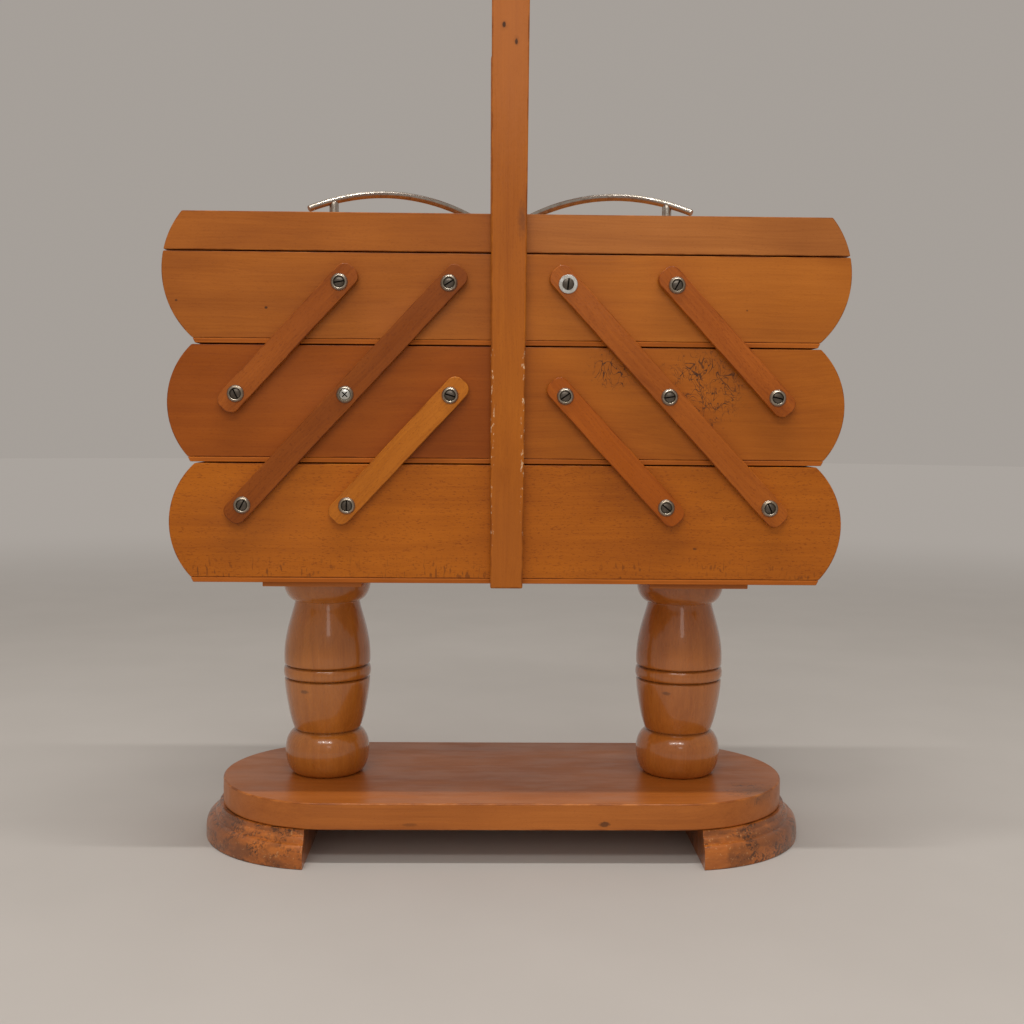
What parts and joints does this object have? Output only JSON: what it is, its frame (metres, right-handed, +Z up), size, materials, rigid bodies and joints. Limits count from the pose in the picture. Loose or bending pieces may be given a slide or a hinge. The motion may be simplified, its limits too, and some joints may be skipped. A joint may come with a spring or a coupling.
{
  "type": "cantilever sewing box",
  "caption": "Wooden sewing box on a pedestal stand; lidded trays swing outwards on pivoted arms over a bottom box, with a tall central carrying handle.",
  "frame": {"origin": "centre of the footprint, on the plane the feet stand on", "axes": "+X to the box's right seen from the front, +Y to the back, +Z up"},
  "size_m": [0.4324, 0.1822, 0.558],
  "materials": {
    "beech": "satin varnish",
    "dark_beech": "satin varnish",
    "stand_beech": "gloss varnish",
    "plywood": "matt",
    "nickel": "polished, slightly tarnished"
  },
  "bodies": {
    "stand_and_box": {"base_board": "stand_beech", "foot_left": "stand_beech", "foot_right": "stand_beech", "leg_left": "stand_beech", "leg_right": "stand_beech", "leg_plate_left": "plywood", "leg_plate_right": "plywood", "bottom_front_board": "beech", "bottom_back_board": "beech", "bottom_end_left": "beech", "bottom_end_right": "beech", "bottom_floor": "plywood", "handle_post_front": "dark_beech", "handle_post_back": "dark_beech", "handle_grip": "dark_beech"},
    "long_arms_left": {"arm_left_long_front": "dark_beech", "arm_left_long_back": "dark_beech"},
    "inner_arms_left": {"arm_left_inner_front": "dark_beech", "arm_left_inner_back": "dark_beech"},
    "outer_arms_left": {"arm_left_outer_front": "dark_beech", "arm_left_outer_back": "dark_beech"},
    "middle_tray_left": {"middle_tray_left_front": "beech", "middle_tray_left_back": "beech", "middle_tray_left_outer_end": "beech", "middle_tray_left_inner_end": "beech", "middle_tray_left_floor": "plywood"},
    "top_tray_left": {"top_tray_left_front": "beech", "top_tray_left_back": "beech", "top_tray_left_outer_end": "beech", "top_tray_left_inner_end": "beech", "top_tray_left_floor": "plywood", "top_tray_left_hinge_leaf": "nickel"},
    "lid_left": {"lid_left_frame": "beech", "lid_left_panel": "beech", "lid_left_bow_handle": "nickel", "lid_left_hinge_leaf": "nickel"},
    "long_arms_right": {"arm_right_long_front": "dark_beech", "arm_right_long_back": "dark_beech"},
    "inner_arms_right": {"arm_right_inner_front": "dark_beech", "arm_right_inner_back": "dark_beech"},
    "outer_arms_right": {"arm_right_outer_front": "dark_beech", "arm_right_outer_back": "dark_beech"},
    "middle_tray_right": {"middle_tray_right_front": "beech", "middle_tray_right_back": "beech", "middle_tray_right_outer_end": "beech", "middle_tray_right_inner_end": "beech", "middle_tray_right_floor": "plywood"},
    "top_tray_right": {"top_tray_right_front": "beech", "top_tray_right_back": "beech", "top_tray_right_outer_end": "beech", "top_tray_right_inner_end": "beech", "top_tray_right_floor": "plywood", "top_tray_right_hinge_leaf": "nickel"},
    "lid_right": {"lid_right_frame": "beech", "lid_right_panel": "beech", "lid_right_bow_handle": "nickel", "lid_right_hinge_leaf": "nickel"}
  },
  "joints": [
    {"name": "left_long_arms_swing", "type": "hinge", "parent": "stand_and_box", "child": "long_arms_left", "pos_m": [-0.1635, 0, 0.2295], "axis": [0, -1, 0], "range_deg": [0, 85]},
    {"name": "left_middle_tray_level", "type": "hinge", "parent": "long_arms_left", "child": "middle_tray_left", "pos_m": [-0.1, 0, 0.298], "axis": [0, 1, 0], "range_deg": [0, 85]},
    {"name": "left_top_tray_level", "type": "hinge", "parent": "long_arms_left", "child": "top_tray_left", "pos_m": [-0.0365, 0, 0.3665], "axis": [0, 1, 0], "range_deg": [0, 85]},
    {"name": "left_inner_arms_swing", "type": "hinge", "parent": "stand_and_box", "child": "inner_arms_left", "pos_m": [-0.099, 0, 0.2295], "axis": [0, -1, 0], "range_deg": [0, 85]},
    {"name": "left_outer_arms_swing", "type": "hinge", "parent": "middle_tray_left", "child": "outer_arms_left", "pos_m": [-0.167, 0, 0.298], "axis": [0, -1, 0], "range_deg": [0, 85]},
    {"name": "left_lid_hinge", "type": "hinge", "parent": "top_tray_left", "child": "lid_left", "pos_m": [-0.2142, 0, 0.3856], "axis": [0, -1, 0], "range_deg": [0, 100]},
    {"name": "right_long_arms_swing", "type": "hinge", "parent": "stand_and_box", "child": "long_arms_right", "pos_m": [0.1635, 0, 0.2295], "axis": [0, 1, 0], "range_deg": [0, 85]},
    {"name": "right_middle_tray_level", "type": "hinge", "parent": "long_arms_right", "child": "middle_tray_right", "pos_m": [0.1, 0, 0.298], "axis": [0, -1, 0], "range_deg": [0, 85]},
    {"name": "right_top_tray_level", "type": "hinge", "parent": "long_arms_right", "child": "top_tray_right", "pos_m": [0.0365, 0, 0.3665], "axis": [0, -1, 0], "range_deg": [0, 85]},
    {"name": "right_inner_arms_swing", "type": "hinge", "parent": "stand_and_box", "child": "inner_arms_right", "pos_m": [0.099, 0, 0.2295], "axis": [0, 1, 0], "range_deg": [0, 85]},
    {"name": "right_outer_arms_swing", "type": "hinge", "parent": "middle_tray_right", "child": "outer_arms_right", "pos_m": [0.167, 0, 0.298], "axis": [0, 1, 0], "range_deg": [0, 85]},
    {"name": "right_lid_hinge", "type": "hinge", "parent": "top_tray_right", "child": "lid_right", "pos_m": [0.2142, 0, 0.3856], "axis": [0, 1, 0], "range_deg": [0, 100]}
  ],
  "couplings": [
    {"joint": "left_middle_tray_level", "follows": "left_long_arms_swing", "ratio": 1},
    {"joint": "left_top_tray_level", "follows": "left_long_arms_swing", "ratio": 1},
    {"joint": "left_inner_arms_swing", "follows": "left_long_arms_swing", "ratio": 1},
    {"joint": "left_outer_arms_swing", "follows": "left_long_arms_swing", "ratio": 1},
    {"joint": "right_middle_tray_level", "follows": "right_long_arms_swing", "ratio": 1},
    {"joint": "right_top_tray_level", "follows": "right_long_arms_swing", "ratio": 1},
    {"joint": "right_inner_arms_swing", "follows": "right_long_arms_swing", "ratio": 1},
    {"joint": "right_outer_arms_swing", "follows": "right_long_arms_swing", "ratio": 1}
  ]
}
